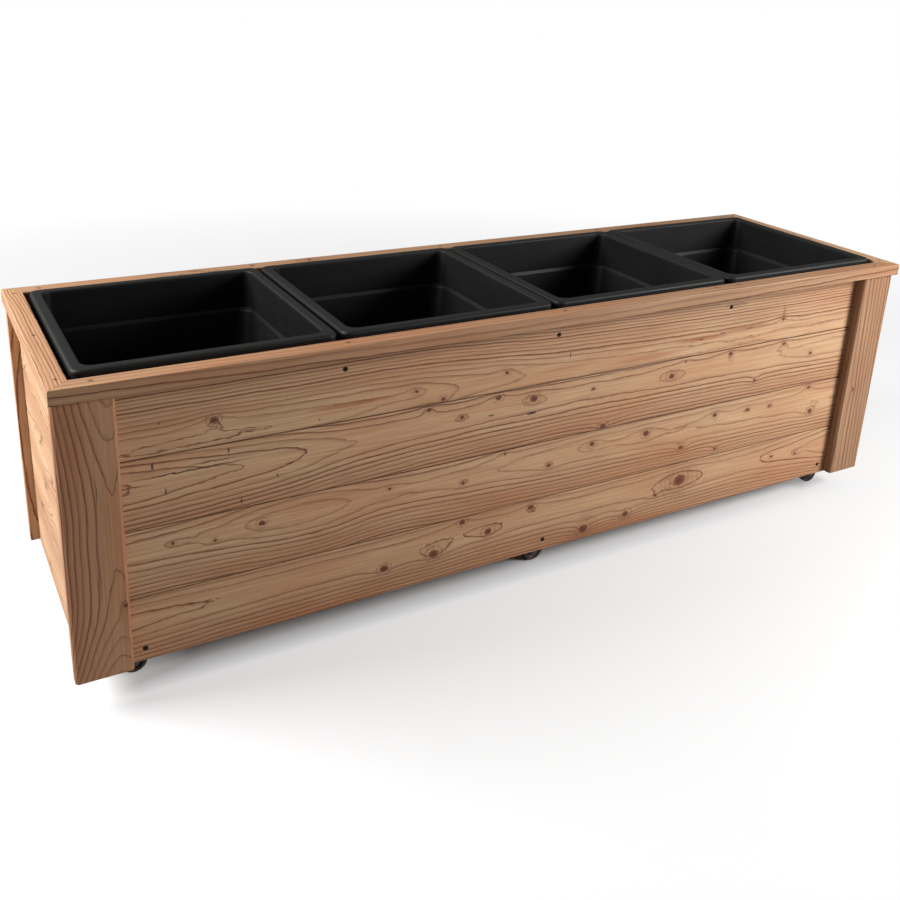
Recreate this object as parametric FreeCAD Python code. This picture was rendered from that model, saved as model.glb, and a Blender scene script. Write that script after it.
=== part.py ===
import FreeCAD, Part
import math
import os

os.makedirs("parts", exist_ok=True)

# Indoor herb planter: a long timber box with four square plastic pots, on six small castors.
# The origin is on the floor below the middle of the box, +X runs along the length to the right,
# -Y is the front and +Z is up. All lengths are in millimetres.

# Pots
pot_count = 4
pot_rim = 301.0            # outside of the square rim
pot_gap = 6.0              # between two rims
pot_height = 290.0
pot_wall = 2.5
rim_width = 13.5           # rim's top face, from the opening to the outside
rim_height = 21.0          # the turned-down skirt
rim_edge_radius = 4.0      # outer top edge of the rim
lip_radius = 2.5           # inner top edge of the rim
rim_corner_radius = 12.0   # outside corner of the rim, seen from above
mouth_corner_radius = 13.0 # corner of the opening, seen from above
wall_corner_radius = 20.0  # outside corner of the tapered walls
band_depth = 54.0          # rim's top to the ledge
band_draft = 1.0           # how far the band leans in over its depth
ledge_width = 3.0
ledge_height = 5.0
base_taper = 20.5          # how far each wall leans in below the ledge
base_edge = 3.0            # rounded edge at the foot of the walls
foot_ring = 16.0           # width of the ring that the pot stands on
foot_kick = 4.0            # height of the base inside that ring
foot_corner_radius = 12.0  # inside corner of that ring
drain_radius = 6.0         # four drain holes in the floor
drain_offset = 48.0        # from the middle of the floor, along both sides
pot_foot_gap = 35.3        # from the floor slats up to the pots

# Boards
board_count = 4
board_thick = 18.0
board_chamfer = 1.0        # eased outer edges at the joints
foot_chamfer = 2.5         # eased lower edge of the lowest boards
tongue_height = 8.0
tongue_thick = 5.0
tongue_draft = 0.4         # how much thinner the tongue is at its tip, each side
groove_play = 0.3          # room round the tongue
board_lift = 35.0          # lower edge of the boards above the floor

# Box
body_play = 3.5            # between a pot's wall and the front boards
end_seat = 3.0             # how much of the rim rests on an end board
end_overhang = 14.0        # cap end past the end boards
cap_width = 24.0
cap_thick = 17.0
cap_round = 2.0
trim_width = 65.0
trim_thick = 15.0
trim_chamfer = 3.0
trim_lift = 4.0            # lower end of the trims above the boards' lower edge
trim_overhang = 7.0        # cap edge past the face of the trims
trim_end_gap = 2.0         # cap end past the outer edge of the trims
rail_height = 40.0
rail_play = 2.0            # between a divider rail and a pot's wall
strip_play = 2.0           # between a corner fillet strip and a pot's corner
strip_tip = 3.0            # blunt edges of the fillet strips
bearer_width = 70.0
bearer_thick = 22.0
slat_count = 3
slat_gap = 20.0
slat_thick = 15.0
edge_ease = 1.5            # eased edges of rails, bearers and slats

# Screws through the boards
screw_head_radius = 3.6
screw_head_height = 2.6
screw_radius = 1.8
screw_length = 48.0
screw_point = 6.0
screw_tip_radius = 0.4
screw_sink = 0.4           # head below the face of the board
bearer_screw_offset = 16.0 # end bearers: screw from the bearer's centre line

# Castors
castor_height = 42.0
castor_trail = 8.0
castor_edge_gap = 1.0      # plate to the inner face of the boards
plate_size = 36.0
plate_thick = 2.0
plate_corner = 4.0
plate_hole_radius = 2.2
plate_hole_inset = 5.5     # hole centre from the plate's edge
race_radius = 13.0
race_height = 3.2
race_slope = 1.5           # how much smaller the race is at its lower face
swivel_gap = 0.3
crown_radius = 12.0
fork_thick = 2.0
fork_top_half = 6.5        # half width of a leg where it joins the crown
fork_end_radius = 5.5      # round end of a leg
kingpin_radius = 3.0
kingpin_head_radius = 5.0
kingpin_head_height = 1.6
wheel_radius = 16.0
wheel_width = 14.0
wheel_shoulder = 2.5
wheel_rim_depth = 5.0      # tread ring, from the tread to the web
wheel_web = 6.0
hub_radius = 6.0
hub_stand = 0.7            # hub past each side of the wheel
axle_radius = 2.5
axle_head_radius = 4.0
axle_head_height = 1.4
running_fit = 0.08         # radial clearance of a turning pin
hub_play = 0.3             # between the hub and each leg
seat_gap = 0.3             # lift of a resting pot above its seat

# Planes that follow from the sizes
rim_half = pot_rim / 2
mouth_half = rim_half - rim_width
body_half = mouth_half + pot_wall
pot_pitch = pot_rim + pot_gap
row_half = (pot_count * pot_rim + (pot_count - 1) * pot_gap) / 2
inner_y = body_half + body_play
outer_y = inner_y + board_thick
trim_y = outer_y + trim_thick
cap_y = trim_y + trim_overhang
inner_x = row_half - end_seat
outer_x = inner_x + board_thick
cap_x = outer_x + end_overhang
trim_x = cap_x - trim_end_gap
bearer_bottom = castor_height
bearer_top = bearer_bottom + bearer_thick
slat_top = bearer_top + slat_thick
pot_bottom = slat_top + pot_foot_gap
rim_top = pot_bottom + pot_height
skirt_bottom = rim_top - rim_height
box_bottom = board_lift
box_top = skirt_bottom - seat_gap
cap_top = box_top + cap_thick
board_cover = (box_top - box_bottom) / board_count
castor_y = inner_y - castor_edge_gap - plate_size / 2
pot_centres = [(i - (pot_count - 1) / 2) * pot_pitch for i in range(pot_count)]
gap_centres = [(a + b) / 2 for a, b in zip(pot_centres, pot_centres[1:])]
bearer_x = inner_x - bearer_width / 2
bearer_centres = {"left": -bearer_x, "middle": 0.0, "right": bearer_x}


def save(shape, name):
    shape.exportStep("parts/" + name + ".step")


def prism(points, path):
    """A solid with a flat polygon as its section, run along a vector."""
    face = Part.Face(Part.makePolygon(points + points[:1]))
    return face.extrude(path)


def eased_bar(low, high, ease, run):
    """A bar whose four long edges are eased. run is the axis that it runs along: 0, 1 or 2."""
    a, b = [k for k in range(3) if k != run]
    la, lb, ha, hb = low[a], low[b], high[a], high[b]
    outline = [(la + ease, lb), (ha - ease, lb), (ha, lb + ease), (ha, hb - ease),
               (ha - ease, hb), (la + ease, hb), (la, hb - ease), (la, lb + ease)]
    points = []
    for p, q in outline:
        place = [0.0, 0.0, 0.0]
        place[a], place[b], place[run] = p, q, low[run]
        points.append(FreeCAD.Vector(*place))
    path = [0.0, 0.0, 0.0]
    path[run] = high[run] - low[run]
    return prism(points, FreeCAD.Vector(*path))


# Boards, with a tongue on the upper edge and a groove in the lower one

def board_outline(level):
    """Points of a board's section: distance in from its outer face, and height."""
    low = box_bottom + level * board_cover
    high = low + board_cover
    middle = board_thick / 2
    lowest = level == 0
    highest = level == board_count - 1
    ease = foot_chamfer if lowest else board_chamfer
    points = [(0.0, low + ease), (0.0, high - board_chamfer), (board_chamfer, high)]
    if not highest:
        root = tongue_thick / 2
        tip = root - tongue_draft
        top = high + tongue_height
        points += [(middle - root, high), (middle - tip, top), (middle + tip, top), (middle + root, high)]
    points += [(board_thick, high), (board_thick, low)]
    if not lowest:
        mouth = tongue_thick / 2 + groove_play
        top = low + tongue_height + groove_play
        points += [(middle + mouth, low), (middle + mouth, top), (middle - mouth, top), (middle - mouth, low)]
    points.append((ease, low))
    return points


def board(level, start, inward, path):
    section = [start + inward * depth + FreeCAD.Vector(0, 0, height) for depth, height in board_outline(level)]
    return prism(section, path)


def screw_places():
    """x and z of the screws through the front and back boards, by board level."""
    rail_z = box_top - rail_height / 2
    bearer_z = (bearer_bottom + bearer_top) / 2
    side_x = bearer_x - bearer_screw_offset
    return {0: [(x, bearer_z) for x in (-side_x, 0.0, side_x)],
            board_count - 1: [(x, rail_z) for x in gap_centres]}


def board_screw(x, z, side):
    """A countersunk screw. side is -1 on the front and 1 on the back, and the screw points inwards."""
    inward = FreeCAD.Vector(0, -side, 0)
    start = FreeCAD.Vector(x, side * (outer_y - screw_sink), z)
    head = Part.makeCone(screw_head_radius, screw_radius, screw_head_height, start, inward)
    shank_length = screw_length - screw_head_height - screw_point
    neck = start + inward * screw_head_height
    shank = Part.makeCylinder(screw_radius, shank_length, neck, inward)
    point = Part.makeCone(screw_radius, screw_tip_radius, screw_point, neck + inward * shank_length, inward)
    return head.fuse([shank, point]).removeSplitter()


def screw_hole(x, z, side):
    """The room of a screw, with the sunk mouth above its head."""
    inward = FreeCAD.Vector(0, -side, 0)
    mouth = FreeCAD.Vector(x, side * outer_y, z)
    sunk = Part.makeCylinder(screw_head_radius, screw_sink, mouth, inward)
    return sunk.fuse(board_screw(x, z, side))


def long_boards(name, side):
    start = FreeCAD.Vector(-inner_x, side * outer_y, 0)
    inward = FreeCAD.Vector(0, -side, 0)
    path = FreeCAD.Vector(2 * inner_x, 0, 0)
    for level in range(board_count):
        solid = board(level, start, inward, path)
        for x, z in screw_places().get(level, []):
            solid = solid.cut(screw_hole(x, z, side))
        save(solid, name + "_board_" + str(level + 1))


def end_boards(name, side):
    start = FreeCAD.Vector(side * outer_x, -outer_y, 0)
    inward = FreeCAD.Vector(-side, 0, 0)
    path = FreeCAD.Vector(0, 2 * outer_y, 0)
    for level in range(board_count):
        save(board(level, start, inward, path), name + "_end_board_" + str(level + 1))


def board_screws():
    screws = [board_screw(x, z, side)
              for side in (-1, 1) for places in screw_places().values() for x, z in places]
    save(Part.makeCompound(screws), "board_screws")


def cut_screws(solid):
    for side in (-1, 1):
        for places in screw_places().values():
            for x, z in places:
                screw = board_screw(x, z, side)
                if solid.BoundBox.intersect(screw.BoundBox):
                    solid = solid.cut(screw)
    return solid


# Corner trims, with both edges of the face eased

def corner_trim(name, side_x, side_y):
    edges = [side_x * trim_x, side_x * (trim_x - trim_width)]
    low, high = min(edges), max(edges)
    face, back = side_y * trim_y, side_y * outer_y
    bevel = face - side_y * trim_chamfer
    z = box_bottom + trim_lift
    outline = [(low, back), (low, bevel), (low + trim_chamfer, face),
               (high - trim_chamfer, face), (high, bevel), (high, back)]
    points = [FreeCAD.Vector(x, y, z) for x, y in outline]
    save(prism(points, FreeCAD.Vector(0, 0, box_top - z)), "corner_trim_" + name)


# Cap frame, mitred at the corners, with rounded top edges

def cap_strip(name, outline):
    points = [FreeCAD.Vector(x, y, box_top) for x, y in outline]
    strip = prism(points, FreeCAD.Vector(0, 0, cap_thick))
    long_side = points[0].distanceToPoint(points[1])
    short_side = points[2].distanceToPoint(points[3])
    tolerance = cap_width / 100
    edges = []
    for edge in strip.Edges:
        at_top = abs(edge.BoundBox.ZMin - cap_top) < tolerance
        along = min(abs(edge.Length - long_side), abs(edge.Length - short_side)) < tolerance
        if at_top and along:
            edges.append(edge)
    save(strip.makeFillet(cap_round, edges), "cap_" + name)


def cap_frame():
    x, y = cap_x, cap_y
    u, v = cap_x - cap_width, cap_y - cap_width
    cap_strip("front", [(-x, -y), (x, -y), (u, -v), (-u, -v)])
    cap_strip("back", [(x, y), (-x, y), (-u, v), (u, v)])
    cap_strip("left", [(-x, y), (-x, -y), (-u, -v), (-u, v)])
    cap_strip("right", [(x, -y), (x, y), (u, v), (u, -v)])


# Inner timber

def divider_rails():
    """Rails between the pots, flush with the board tops: the rims rest on them."""
    half = pot_gap / 2 + rim_width - pot_wall - rail_play
    for number, x in enumerate(gap_centres):
        low = (x - half, -inner_y, box_top - rail_height)
        high = (x + half, inner_y, box_top)
        save(cut_screws(eased_bar(low, high, edge_ease, 1)), "divider_rail_" + str(number + 1))


def strip_leg():
    """Leg of the corner fillet strips, which stay clear of the pots' rounded corners."""
    radius = mouth_corner_radius + pot_wall
    end_play = inner_x - (pot_centres[-1] + body_half)
    dx = end_play + radius
    dy = body_play + radius
    room = math.hypot(dx, dy) - radius - strip_play
    return room * math.sqrt(2) - strip_tip


def corner_strip(name, side_x, side_y):
    leg = strip_leg()
    outline = [(0.0, 0.0), (leg, 0.0), (leg, strip_tip), (strip_tip, leg), (0.0, leg)]
    points = [FreeCAD.Vector(side_x * (inner_x - a), side_y * (inner_y - b), bearer_top) for a, b in outline]
    save(prism(points, FreeCAD.Vector(0, 0, box_top - bearer_top)), "corner_strip_" + name)


def bearers():
    for name, x in bearer_centres.items():
        low = (x - bearer_width / 2, -inner_y, bearer_bottom)
        high = (x + bearer_width / 2, inner_y, bearer_top)
        save(cut_screws(eased_bar(low, high, edge_ease, 1)), "bearer_" + name)


def floor_slats():
    span = 2 * (inner_y - strip_leg())
    width = (span - (slat_count - 1) * slat_gap) / slat_count
    for number in range(slat_count):
        front = -span / 2 + number * (width + slat_gap)
        low = (-inner_x, front, bearer_top)
        high = (inner_x, front + width, slat_top)
        save(eased_bar(low, high, edge_ease, 0), "floor_slat_" + str(number + 1))


# Pots: one moulded skin that passes through rounded squares, from the foot, over the rim, to the floor.
# Each square is its half width, its corner radius and its height.

def pot_rings():
    skirt_in = rim_half - pot_wall
    ledge_z = rim_top - band_depth
    band_low = body_half - band_draft
    wall_top = band_low - ledge_width
    base = wall_top - base_taper
    foot = base - base_edge
    foot_in = foot - foot_ring
    under = rim_top - pot_wall
    mouth_r, body_r, wall_r = mouth_corner_radius, mouth_corner_radius + pot_wall, wall_corner_radius
    bend = 1 - math.sqrt(0.5)
    outside = [
        (foot_in - foot_kick, foot_corner_radius - foot_kick, pot_bottom + foot_kick),
        (foot_in, foot_corner_radius, pot_bottom),
        (foot, wall_r - base_edge, pot_bottom),
        (base - bend * base_edge, wall_r - bend * base_edge, pot_bottom + bend * base_edge),
        (base, wall_r, pot_bottom + base_edge),
        (wall_top, wall_r, ledge_z - ledge_height),
        (band_low, body_r - band_draft, ledge_z),
        (body_half, body_r, under),
    ]
    rim = [
        (skirt_in, rim_corner_radius - pot_wall, under),
        (skirt_in, rim_corner_radius - pot_wall, skirt_bottom),
        (rim_half, rim_corner_radius, skirt_bottom),
        (rim_half, rim_corner_radius, rim_top - rim_edge_radius),
        (rim_half - bend * rim_edge_radius, rim_corner_radius - bend * rim_edge_radius,
         rim_top - bend * rim_edge_radius),
        (rim_half - rim_edge_radius, rim_corner_radius - rim_edge_radius, rim_top),
        (mouth_half + lip_radius, mouth_r + lip_radius, rim_top),
        (mouth_half + bend * lip_radius, mouth_r + bend * lip_radius, rim_top - bend * lip_radius),
        (mouth_half, mouth_r, rim_top - lip_radius),
    ]
    inside = [
        (mouth_half - band_draft, mouth_r - band_draft, ledge_z + pot_wall),
        (wall_top - pot_wall, wall_r - pot_wall, ledge_z + pot_wall - ledge_height),
        (base - pot_wall, wall_r - pot_wall, pot_floor() + base_edge),
        (foot - pot_wall, wall_r - pot_wall - base_edge, pot_floor()),
    ]
    return outside + rim + inside


def pot_floor():
    return pot_bottom + foot_kick + pot_wall


def quarter_points(x, ring, quarter):
    """Both ends of one side of a rounded square, then the middle, the end and the centre of its corner."""
    half, radius, z = ring
    flat = half - radius
    bulge = flat + radius * math.sqrt(0.5)
    turn = FreeCAD.Rotation(FreeCAD.Vector(0, 0, 1), 90 * quarter)
    spots = [(half, -flat), (half, flat), (bulge, bulge), (flat, half), (flat, flat)]
    return [turn.multVec(FreeCAD.Vector(p, q, z)) + FreeCAD.Vector(x, 0, 0) for p, q in spots]


def rounded_square(x, ring):
    edges = []
    for quarter in range(4):
        a, b, c, d, centre = quarter_points(x, ring, quarter)
        edges += [Part.LineSegment(a, b).toShape(), Part.Arc(b, c, d).toShape()]
    return Part.Wire(edges)


def flat_ring(x, ring, other):
    outer, inner = max(ring, other), min(ring, other)
    return Part.Face([rounded_square(x, outer), rounded_square(x, inner)])


def wall_faces(x, low, high):
    """Four flat sides and four round corners between two rounded squares."""
    same = pot_wall / 1000
    faces = []
    for quarter in range(4):
        a, b, c, d, centre = quarter_points(x, low, quarter)
        e, f, g, h, other = quarter_points(x, high, quarter)
        faces.append(Part.Face(Part.makePolygon([a, b, f, e, a])))
        shift = other - centre
        if math.hypot(shift.x, shift.y) < same:
            faces.append(Part.makeLine(b, f).revolve(centre, FreeCAD.Vector(0, 0, 1), 90))
        elif abs(low[1] - high[1]) < same:
            faces.append(Part.Arc(b, c, d).toShape().extrude(shift))
        else:
            faces.append(Part.makeRuledSurface(Part.Arc(b, c, d).toShape(), Part.Arc(f, g, h).toShape()))
    return faces


def skin(x, rings):
    """A solid whose skin passes from ring to ring, with the first and the last ring closed."""
    faces = [Part.Face(rounded_square(x, rings[0])), Part.Face(rounded_square(x, rings[-1]))]
    for low, high in zip(rings, rings[1:]):
        if low[2] == high[2]:
            faces.append(flat_ring(x, low, high))
        else:
            faces += wall_faces(x, low, high)
    shell = Part.makeShell(faces)
    shell.sewShape()
    solid = Part.Solid(Part.Shell(shell.Faces))
    if solid.Volume < 0:
        solid.reverse()
    return solid


def pots():
    for number, x in enumerate(pot_centres):
        low = pot_floor() - pot_wall
        spots = [FreeCAD.Vector(x + a * drain_offset, b * drain_offset, low) for a in (-1, 1) for b in (-1, 1)]
        drains = [Part.makeCylinder(drain_radius, pot_wall, spot) for spot in spots]
        save(skin(x, pot_rings()).cut(drains), "pot_" + str(number + 1))


# Castors

def castor_plate(x, y):
    """Top plate with four screw holes, and the race pressed down from it."""
    low = FreeCAD.Vector(x - plate_size / 2, y - plate_size / 2, castor_height - plate_thick)
    plate = Part.makeBox(plate_size, plate_size, plate_thick, low)
    corners = [e for e in plate.Edges if abs(e.BoundBox.ZLength - plate_thick) < plate_thick / 100]
    plate = plate.makeFillet(plate_corner, corners)
    centre = FreeCAD.Vector(x, y, castor_height - plate_thick)
    down = FreeCAD.Vector(0, 0, -1)
    race = Part.makeCone(race_radius, race_radius - race_slope, race_height, centre, down)
    bore = Part.makeCylinder(kingpin_radius, plate_thick + race_height, FreeCAD.Vector(x, y, castor_height), down)
    reach = plate_size / 2 - plate_hole_inset
    holes = [Part.makeCylinder(plate_hole_radius, plate_thick,
                               FreeCAD.Vector(x + a * reach, y + b * reach, castor_height), down)
             for a in (-1, 1) for b in (-1, 1)]
    return plate.fuse(race).cut([bore] + holes)


def crown_top():
    return castor_height - plate_thick - race_height - swivel_gap


def castor_kingpin(x, y):
    """Rivet from the plate down through the crown, with its head below the crown."""
    head_top = crown_top() - fork_thick - swivel_gap
    shank = Part.makeCylinder(kingpin_radius, castor_height - head_top, FreeCAD.Vector(x, y, head_top))
    low = FreeCAD.Vector(x, y, head_top - kingpin_head_height)
    head = Part.makeCylinder(kingpin_head_radius, kingpin_head_height, low)
    return shank.fuse(head).removeSplitter()


def fork_inner():
    return wheel_width / 2 + hub_stand + hub_play


def castor_fork(x, y):
    """Crown disc and two legs that lean back to the axle."""
    top = crown_top()
    crown = Part.makeCylinder(crown_radius, fork_thick, FreeCAD.Vector(x, y, top - fork_thick))
    axle_x = x + castor_trail
    legs = []
    for start in (y + fork_inner(), y - fork_inner() - fork_thick):
        a = FreeCAD.Vector(x - fork_top_half, start, top)
        b = FreeCAD.Vector(axle_x - fork_end_radius, start, wheel_radius)
        c = FreeCAD.Vector(axle_x, start, wheel_radius - fork_end_radius)
        d = FreeCAD.Vector(axle_x + fork_end_radius, start, wheel_radius)
        e = FreeCAD.Vector(x + fork_top_half, start, top)
        edges = [Part.LineSegment(a, b).toShape(), Part.Arc(b, c, d).toShape(),
                 Part.LineSegment(d, e).toShape(), Part.LineSegment(e, a).toShape()]
        legs.append(Part.Face(Part.Wire(edges)).extrude(FreeCAD.Vector(0, fork_thick, 0)))
    bore = Part.makeCylinder(kingpin_radius + running_fit, fork_thick, FreeCAD.Vector(x, y, top - fork_thick))
    span = 2 * (fork_inner() + fork_thick)
    axle = Part.makeCylinder(axle_radius, span, FreeCAD.Vector(axle_x, y - span / 2, wheel_radius),
                             FreeCAD.Vector(0, 1, 0))
    return crown.fuse(legs).cut([bore, axle]).removeSplitter()


def castor_axle(x, y):
    """Rivet through both legs, with a low head on each side."""
    span = 2 * (fork_inner() + fork_thick)
    axle_x = x + castor_trail
    along = FreeCAD.Vector(0, 1, 0)
    shank = Part.makeCylinder(axle_radius, span, FreeCAD.Vector(axle_x, y - span / 2, wheel_radius), along)
    near = FreeCAD.Vector(axle_x, y - span / 2, wheel_radius)
    far = FreeCAD.Vector(axle_x, y + span / 2, wheel_radius)
    heads = [Part.makeCone(axle_head_radius, axle_radius, axle_head_height, near, along * -1),
             Part.makeCone(axle_head_radius, axle_radius, axle_head_height, far, along)]
    return shank.fuse(heads)


def castor_wheel(x, y):
    """Moulded wheel: hub, thin web and a tread ring with rounded shoulders."""
    half = wheel_width / 2
    hub = half + hub_stand
    bore = axle_radius + running_fit
    ring = wheel_radius - wheel_rim_depth
    web = wheel_web / 2
    flat = half - wheel_shoulder
    curve = wheel_radius - wheel_shoulder * (1 - math.sqrt(0.5))
    mid = flat + wheel_shoulder * math.sqrt(0.5)
    edge = wheel_radius - wheel_shoulder

    def at(r, w):
        return FreeCAD.Vector(x + castor_trail + r, y + w, wheel_radius)

    side = [(bore, hub), (hub_radius, hub), (hub_radius, web), (ring, web), (ring, half),
            (edge, half), (curve, mid), (wheel_radius, flat)]
    outline = [at(r, w) for r, w in side] + [at(r, -w) for r, w in reversed(side)]
    centre = FreeCAD.Vector(x + castor_trail, y, wheel_radius)
    profile = Part.Face(Part.makePolygon(outline + outline[:1]))
    return profile.revolve(centre, FreeCAD.Vector(0, 1, 0), 360)


def castors():
    plates, kingpins = [], []
    for row, y in (("front", -castor_y), ("back", castor_y)):
        for column, x in bearer_centres.items():
            name = row + "_" + column
            plates.append(castor_plate(x, y))
            kingpins.append(castor_kingpin(x, y))
            save(Part.makeCompound([castor_fork(x, y), castor_axle(x, y)]), "castor_fork_" + name)
            save(castor_wheel(x, y), "castor_wheel_" + name)
    save(Part.makeCompound(plates), "castor_plates")
    save(Part.makeCompound(kingpins), "castor_kingpins")


long_boards("front", -1)
long_boards("back", 1)
end_boards("left", -1)
end_boards("right", 1)
board_screws()
for corner, side_x, side_y in (("front_left", -1, -1), ("front_right", 1, -1),
                               ("back_left", -1, 1), ("back_right", 1, 1)):
    corner_trim(corner, side_x, side_y)
    corner_strip(corner, side_x, side_y)
cap_frame()
divider_rails()
bearers()
floor_slats()
pots()
castors()
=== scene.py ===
import bmesh
import bpy
import math
import random
from functools import partialmethod
from mathutils import Matrix, Vector


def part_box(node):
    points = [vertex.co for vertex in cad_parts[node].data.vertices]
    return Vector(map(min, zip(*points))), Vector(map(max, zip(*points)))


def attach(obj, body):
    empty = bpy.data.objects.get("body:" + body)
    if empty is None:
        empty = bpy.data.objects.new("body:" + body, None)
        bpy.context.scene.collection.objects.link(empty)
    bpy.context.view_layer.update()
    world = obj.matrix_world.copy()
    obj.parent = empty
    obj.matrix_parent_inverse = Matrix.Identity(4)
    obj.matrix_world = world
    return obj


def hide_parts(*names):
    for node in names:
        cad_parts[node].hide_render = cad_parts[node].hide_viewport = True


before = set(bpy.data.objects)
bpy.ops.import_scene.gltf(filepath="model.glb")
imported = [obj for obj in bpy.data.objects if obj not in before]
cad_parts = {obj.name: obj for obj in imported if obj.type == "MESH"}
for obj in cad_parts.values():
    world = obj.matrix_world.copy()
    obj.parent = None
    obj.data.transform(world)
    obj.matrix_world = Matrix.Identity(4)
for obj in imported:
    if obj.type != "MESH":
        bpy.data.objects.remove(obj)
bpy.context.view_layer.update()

mm = 0.001
corners = {"front_left": (-1, -1), "front_right": (1, -1), "back_left": (-1, 1), "back_right": (1, 1)}
columns = ("left", "middle", "right")
castorNames = [row + "_" + column for row in ("front", "back") for column in columns]
print("frame loaded:", len(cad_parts), "nodes")


# Node helpers

class Wire:
    # a socket that can be used in sums
    def __init__(self, tree, socket):
        self.tree = tree
        self.socket = socket

    def calc(self, operation, *others):
        values = dict(enumerate((self,) + others))
        return addNode(self.tree, "ShaderNodeMath", values, operation=operation)

    __add__ = partialmethod(calc, "ADD")
    __sub__ = partialmethod(calc, "SUBTRACT")
    __mul__ = partialmethod(calc, "MULTIPLY")
    __truediv__ = partialmethod(calc, "DIVIDE")

    def fade(self, start, end):
        # 1 at start, 0 at end
        values = {"Value": self, "From Min": start, "From Max": end, "To Min": 1.0, "To Max": 0.0}
        return addNode(self.tree, "ShaderNodeMapRange", values)


def plug(tree, value, place):
    if isinstance(value, Wire):
        tree.links.new(value.socket, place)
    elif isinstance(value, bpy.types.NodeSocket):
        tree.links.new(value, place)
    else:
        place.default_value = value


def addNode(tree, kind, values=None, out=0, **settings):
    node = tree.nodes.new(kind)
    for name, value in settings.items():
        setattr(node, name, value)
    for place, value in (values or {}).items():
        plug(tree, value, node.inputs[place])
    return Wire(tree, node.outputs[out])


def vectorCalc(tree, operation, *values, out=0):
    places = (0, "Scale") if operation == "SCALE" else range(3)
    return addNode(tree, "ShaderNodeVectorMath", dict(zip(places, values)), out, operation=operation)


def scaled(tree, vector, scale):
    return vectorCalc(tree, "MULTIPLY", vector, scale)


def noise(tree, vector, scale, detail, rough, out=0):
    values = {"Vector": vector, "Scale": scale, "Detail": detail, "Roughness": rough}
    return addNode(tree, "ShaderNodeTexNoise", values, out)


def mixColour(tree, factor, a, b, blend="MIX"):
    # the colour sockets of a mix node are its inputs 6 and 7 and its output 2
    values = {0: factor, 6: a, 7: b}
    return addNode(tree, "ShaderNodeMix", values, 2, data_type="RGBA", blend_type=blend)


def greyColour(tree, value):
    return addNode(tree, "ShaderNodeCombineColor", {0: value, 1: value, 2: value})


def axisOf(tree, vector, number):
    return addNode(tree, "ShaderNodeSeparateXYZ", {0: vector}, number)


def fallOff(tree, distance):
    # e to the power of minus the distance
    return addNode(tree, "ShaderNodeMath", {0: 1 / math.e, 1: distance}, operation="POWER")


def newMaterial(name):
    material = bpy.data.materials.new(name)
    material.use_nodes = True
    tree = material.node_tree
    shader = tree.nodes["Principled BSDF"]
    return material, tree, shader


def objectPlace(tree):
    return addNode(tree, "ShaderNodeTexCoord", out=3)


def bump(tree, shader, height, depth):
    normal = addNode(tree, "ShaderNodeBump", {"Height": height, "Distance": depth, "Strength": 1.0})
    plug(tree, normal, shader.inputs["Normal"])


def newTree(name, kind, inputs, outputs):
    # inputs and outputs map a kind of socket to the names of its sockets
    tree = bpy.data.node_groups.new(name, kind)
    for way, sockets in (("INPUT", inputs), ("OUTPUT", outputs)):
        for socketKind, labels in sockets.items():
            for label in labels:
                tree.interface.new_socket(name=label, in_out=way, socket_type="NodeSocket" + socketKind)
    start = tree.nodes.new("NodeGroupInput")
    end = tree.nodes.new("NodeGroupOutput")
    given = {s.name: Wire(tree, s) for s in start.outputs if s.name}
    return tree, given, end


# Larch: growth rings round a pith, branches and small marks

larch = {
    "early": (0.590, 0.380, 0.217, 1),
    "late": (0.195, 0.074, 0.036, 1),
    "red": (0.43, 0.185, 0.085, 1),
    "knot": (0.105, 0.030, 0.017, 1),
    "knotRing": (0.27, 0.100, 0.048, 1),
    "dark": (0.035, 0.018, 0.012, 1),
    "core": 38.0,          # mm, how blunt the rings are over the pith
    "pithBelow": 50.0,     # mm that a pith may lie below the piece
    "pithSpan": 200.0,     # mm from there to the highest pith
    "pithDeepest": 100.0,  # mm behind the face
    "wobble": 2.0,         # mm that the rings waver
    "stray": 2.3,          # mm that the edges of knots and marks stray
    "lineWidth": 0.90,     # mm of dark latewood at the end of a ring
    "knotSize": 1.18,      # share of a knot's radius that is dark
    "knotGrowth": 0.04,    # and how that share grows with the radius
    "ringedFrom": 7.6,     # mm, wider knots than this have more rings
    "fullRim": 5.5,        # mm, the rings round narrower knots are fainter
    "relief": 0.16 * mm,
}


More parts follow.
